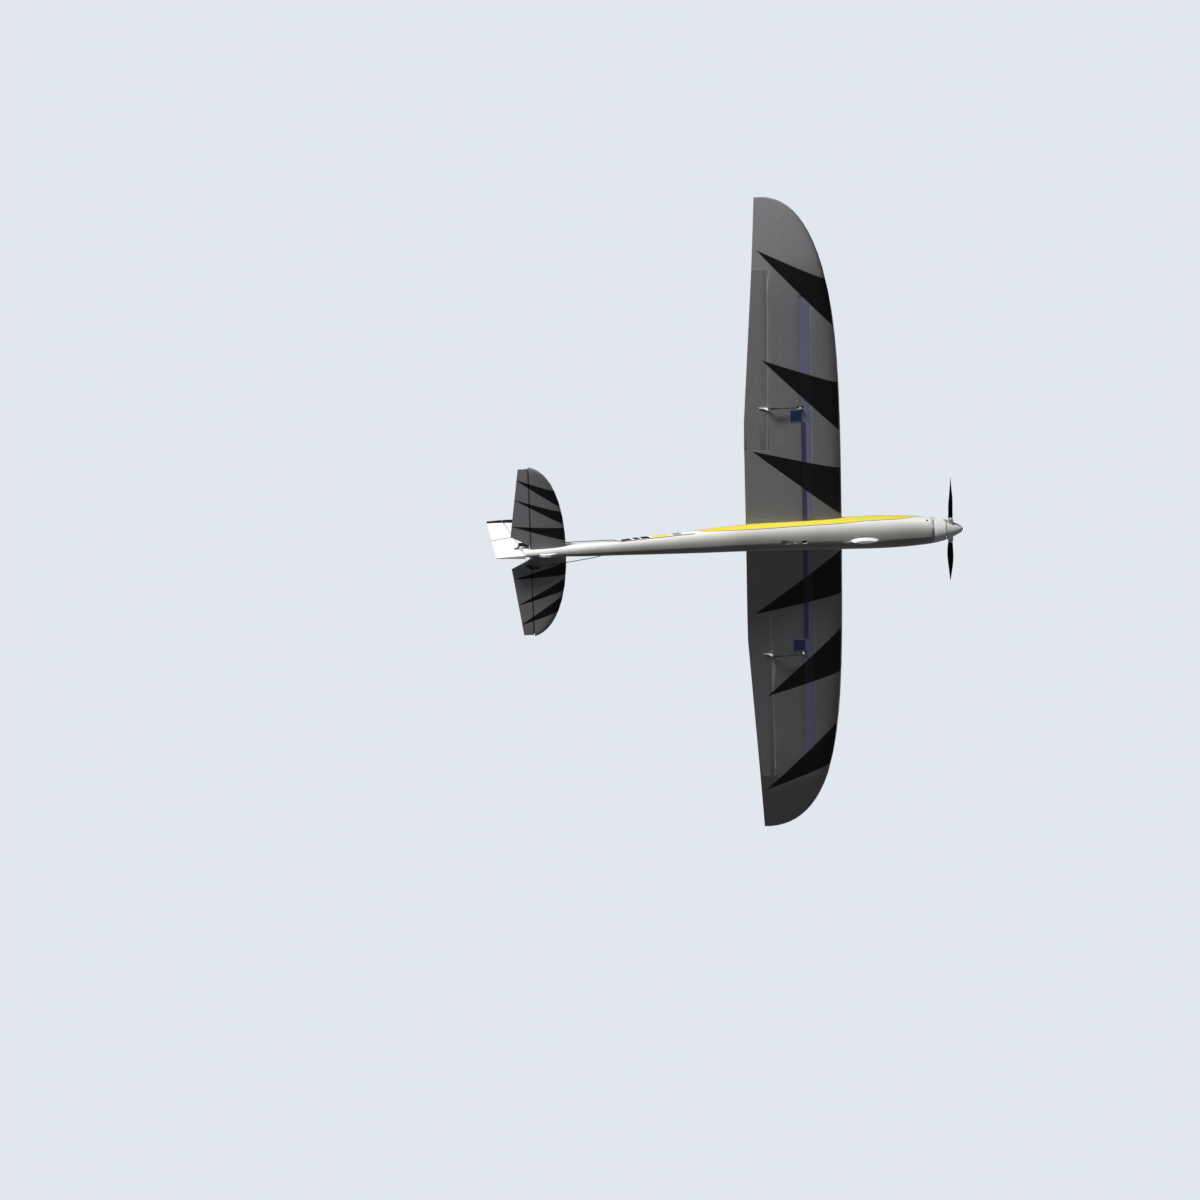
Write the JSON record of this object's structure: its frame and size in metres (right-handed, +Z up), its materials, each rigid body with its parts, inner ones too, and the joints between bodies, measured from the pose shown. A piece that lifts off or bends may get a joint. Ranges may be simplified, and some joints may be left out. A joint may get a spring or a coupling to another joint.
{
  "type": "radio controlled glider",
  "caption": "Foam electric glider with folding propeller, upswept wing tips, ailerons, low tailplane, elevator, rudder and lift-off canopy; flies by radio control and lands on its belly skid.",
  "frame": {"origin": "under the middle of the bounding box, level with the flat sole of the belly skid", "axes": "nose towards -Y, left wing +X, +Z up"},
  "size_m": [1.5, 0.99, 0.165],
  "materials": {
    "foam": "satin moulded foam",
    "white_plastic": "satin",
    "black_plastic": "satin",
    "black_gloss": "gloss",
    "blue_grey": "gloss",
    "bright_metal": "polished",
    "dark_metal": "anodised",
    "copper": "lacquered wire",
    "carbon": "carbon fibre",
    "black_wire": "blackened",
    "plywood": "bare",
    "battery_wrap": "shrink wrap",
    "blue_wrap": "translucent case"
  },
  "bodies": {
    "airframe": {"fuselage_left": "foam", "fuselage_right": "foam", "nose_cowl": "white_plastic", "motor_plate": "bright_metal", "motor_stator": "copper", "battery_tray": "plywood", "battery_pack": "battery_wrap", "battery_strap": "black_plastic", "speed_controller": "blue_wrap", "receiver": "black_plastic", "servo_tray": "plywood", "tray_screw": "bright_metal", "elevator_servo": "blue_wrap", "rudder_servo": "blue_wrap", "elevator_guide_tube": "white_plastic", "rudder_guide_tube": "white_plastic", "wing_left": "foam", "wing_right": "foam", "wing_joiner": "carbon", "spar_band_left": "blue_grey", "spar_band_right": "blue_grey", "servo_cover_left": "blue_grey", "servo_cover_right": "blue_grey", "aileron_servo_left": "blue_wrap", "aileron_servo_right": "blue_wrap", "stabiliser_left": "foam", "stabiliser_right": "foam", "stabiliser_rod": "carbon", "tail_fin": "foam", "belly_skid": "white_plastic", "tail_skid": "white_plastic"},
    "propeller": {"propeller_yoke": "white_plastic", "spinner_cone": "white_plastic", "spinner_backplate": "white_plastic", "spinner_nut": "bright_metal", "motor_shaft": "bright_metal", "motor_bell": "dark_metal", "blade_pin_left": "bright_metal", "blade_pin_right": "bright_metal"},
    "blade_left": {"blade_left": "black_plastic"},
    "blade_right": {"blade_right": "black_plastic"},
    "aileron_left": {"aileron_left": "foam", "aileron_horn_left": "white_plastic"},
    "aileron_right": {"aileron_right": "foam", "aileron_horn_right": "white_plastic"},
    "aileron_servo_arm_left": {"aileron_servo_arm_left": "white_plastic"},
    "aileron_servo_arm_right": {"aileron_servo_arm_right": "white_plastic"},
    "aileron_rod_left": {"aileron_rod_left": "black_wire"},
    "aileron_rod_right": {"aileron_rod_right": "black_wire"},
    "elevator": {"elevator_left": "foam", "elevator_right": "foam", "elevator_joiner": "bright_metal", "elevator_horn": "black_plastic"},
    "rudder": {"rudder": "foam", "rudder_horn": "black_plastic"},
    "elevator_rod": {"elevator_rod": "black_wire"},
    "rudder_rod": {"rudder_rod": "black_wire"},
    "elevator_servo_arm": {"elevator_servo_arm": "white_plastic"},
    "rudder_servo_arm": {"rudder_servo_arm": "white_plastic"},
    "canopy": {"canopy": "black_gloss"}
  },
  "joints": [
    {"name": "propeller_spin", "type": "hinge", "parent": "airframe", "child": "propeller", "pos_m": [0, -0.467, 0.038], "axis": [0, 1, 0], "continuous": true},
    {"name": "blade_left_fold", "type": "hinge", "parent": "propeller", "child": "blade_left", "pos_m": [0.0235, -0.467, 0.038], "axis": [0, 0, 1], "range_deg": [0, 65]},
    {"name": "blade_right_fold", "type": "hinge", "parent": "propeller", "child": "blade_right", "pos_m": [-0.0235, -0.467, 0.038], "axis": [0, 0, -1], "range_deg": [0, 65]},
    {"name": "aileron_left_hinge", "type": "hinge", "parent": "airframe", "child": "aileron_left", "pos_m": [0.292, -0.09242, 0.06849], "axis": [0.9989, -0.0148, 0.0451], "range_deg": [-20, 20]},
    {"name": "aileron_servo_arm_left_turn", "type": "hinge", "parent": "airframe", "child": "aileron_servo_arm_left", "pos_m": [0.29102, -0.15891, 0.06845], "axis": [0.9989, -0.0148, 0.0451], "range_deg": [-20.5, 20.5]},
    {"name": "aileron_rod_left_pivot", "type": "hinge", "parent": "aileron_servo_arm_left", "child": "aileron_rod_left", "pos_m": [0.2917, -0.15891, 0.05346], "axis": [0.9989, -0.0148, 0.0451], "range_deg": [-20.5, 20.5]},
    {"name": "aileron_right_hinge", "type": "hinge", "parent": "airframe", "child": "aileron_right", "pos_m": [-0.292, -0.09242, 0.06849], "axis": [0.9989, 0.0148, -0.0451], "range_deg": [-20, 20]},
    {"name": "aileron_servo_arm_right_turn", "type": "hinge", "parent": "airframe", "child": "aileron_servo_arm_right", "pos_m": [-0.29102, -0.15891, 0.06845], "axis": [0.9989, 0.0148, -0.0451], "range_deg": [-20.5, 20.5]},
    {"name": "aileron_rod_right_pivot", "type": "hinge", "parent": "aileron_servo_arm_right", "child": "aileron_rod_right", "pos_m": [-0.2917, -0.15891, 0.05346], "axis": [0.9989, 0.0148, -0.0451], "range_deg": [-20.5, 20.5]},
    {"name": "elevator_hinge", "type": "hinge", "parent": "airframe", "child": "elevator", "pos_m": [0, 0.409, 0.025], "axis": [1, 0, 0], "range_deg": [-20, 20]},
    {"name": "elevator_rod_slide", "type": "slide", "parent": "airframe", "child": "elevator_rod", "axis": [0, 1, 0], "range_m": [-0.0045, 0.0045]},
    {"name": "elevator_servo_arm_turn", "type": "hinge", "parent": "airframe", "child": "elevator_servo_arm", "pos_m": [0.0147, -0.195, 0.0383], "axis": [1, 0, 0], "range_deg": [-24, 24]},
    {"name": "rudder_hinge", "type": "hinge", "parent": "airframe", "child": "rudder", "pos_m": [0, 0.42957, 0.034], "axis": [0, 0.2611, 0.9653], "range_deg": [-25, 25]},
    {"name": "rudder_rod_slide", "type": "slide", "parent": "airframe", "child": "rudder_rod", "axis": [0, 1, 0], "range_m": [-0.0065, 0.0065]},
    {"name": "rudder_servo_arm_turn", "type": "hinge", "parent": "airframe", "child": "rudder_servo_arm", "pos_m": [-0.0147, -0.155, 0.0383], "axis": [1, 0, 0], "range_deg": [-35, 35]},
    {"name": "canopy_lift", "type": "slide", "parent": "airframe", "child": "canopy", "axis": [0, 0, 1], "range_m": [0, 0.06]}
  ],
  "couplings": [
    {"joint": "aileron_servo_arm_left_turn", "follows": "aileron_left_hinge", "ratio": 1},
    {"joint": "aileron_rod_left_pivot", "follows": "aileron_left_hinge", "ratio": -1},
    {"joint": "aileron_servo_arm_right_turn", "follows": "aileron_right_hinge", "ratio": 1},
    {"joint": "aileron_rod_right_pivot", "follows": "aileron_right_hinge", "ratio": -1},
    {"joint": "elevator_rod_slide", "follows": "elevator_hinge", "m_per_rad": 0.012},
    {"joint": "elevator_servo_arm_turn", "follows": "elevator_hinge", "ratio": 1.165},
    {"joint": "rudder_rod_slide", "follows": "rudder_hinge", "m_per_rad": -0.013997},
    {"joint": "rudder_servo_arm_turn", "follows": "rudder_hinge", "ratio": -1.3589}
  ]
}
